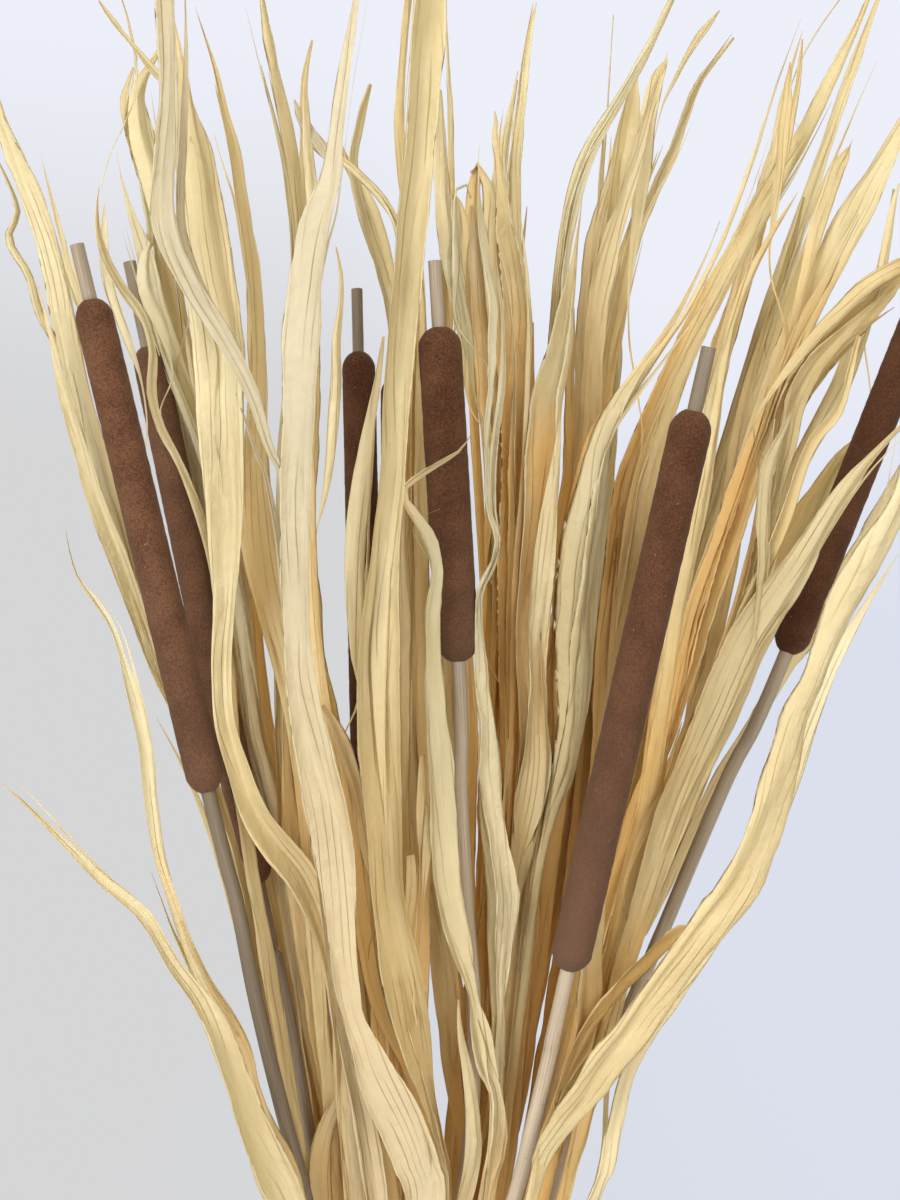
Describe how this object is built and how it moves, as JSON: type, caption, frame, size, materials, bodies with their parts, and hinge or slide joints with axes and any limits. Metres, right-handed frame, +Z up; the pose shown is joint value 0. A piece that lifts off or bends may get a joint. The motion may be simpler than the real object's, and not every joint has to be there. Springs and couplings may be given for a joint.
{
  "type": "vase of dried leaves and bulrushes",
  "caption": "Plain round-bellied ceramic vase holding a tall fan of dried straw-coloured strap leaves with brown bulrush heads on thin stems.",
  "frame": {"origin": "centre of the vase's flat base, on the surface it stands on", "axes": "+Z up, -Y towards the front of the bunch, +X to the right of someone who looks at its front"},
  "size_m": [0.3627, 0.264, 0.8214],
  "materials": {
    "ceramic": "plain, matt, off-white",
    "dry_stem": "dry greyish-brown plant stem",
    "brown_down": "dense velvety plant down",
    "straw": "dry ribbed leaf",
    "pale_straw": "dry ribbed leaf, bleached",
    "amber_straw": "dry ribbed leaf, browned"
  },
  "bodies": {
    "root": {"vase": "ceramic", "bulrush_left_stem": "dry_stem", "bulrush_left_spike": "brown_down", "bulrush_left_inner_stem": "dry_stem", "bulrush_left_inner_spike": "brown_down", "bulrush_back_left_stem": "dry_stem", "bulrush_back_left_spike": "brown_down", "bulrush_centre_stem": "dry_stem", "bulrush_centre_spike": "brown_down", "bulrush_front_right_stem": "dry_stem", "bulrush_front_right_spike": "brown_down", "bulrush_far_right_stem": "dry_stem", "bulrush_far_right_spike": "brown_down", "bulrush_back_right_stem": "dry_stem", "bulrush_back_right_spike": "brown_down", "bulrush_back_centre_stem": "dry_stem", "bulrush_back_centre_spike": "brown_down", "left_low_leaf": "pale_straw", "near_middle_leaf": "pale_straw", "near_right_leaf": "pale_straw", "left_wisp_leaf": "pale_straw", "near_left_leaf": "straw", "near_centre_leaf": "pale_straw", "low_right_leaf": "pale_straw", "pleated_leaf": "straw", "torn_strip_leaf": "straw", "split_leaf": "pale_straw", "bulrush_side_leaf": "straw", "right_band_leaf": "straw", "left_curl_leaf": "straw", "left_inner_leaf": "straw", "hooked_strip": "straw", "twisted_leaf": "pale_straw", "right_amber_leaf": "amber_straw", "left_outer_leaf": "straw", "inner_strip_leaf": "straw", "tan_ribbed_leaf": "straw", "blade_with_curl": "straw", "left_pale_leaf": "pale_straw", "centre_tan_leaf": "amber_straw", "centre_wide_leaf": "straw", "right_arching_leaf": "amber_straw", "far_left_leaf": "straw", "right_inner_leaf": "pale_straw", "right_straw_leaf": "straw", "left_amber_leaf": "amber_straw", "right_slack_leaf": "straw", "right_centre_leaf": "straw", "right_long_leaf": "straw", "left_upper_leaf": "straw", "centre_fan_leaf": "straw", "amber_side_leaf": "amber_straw", "right_back_leaf": "amber_straw", "centre_right_strip": "straw", "right_upper_leaf": "straw", "left_rear_leaf": "straw", "right_rear_leaf": "straw", "far_right_leaf": "straw", "rear_centre_leaf": "straw", "rear_wide_leaf": "straw"}
  },
  "joints": []
}
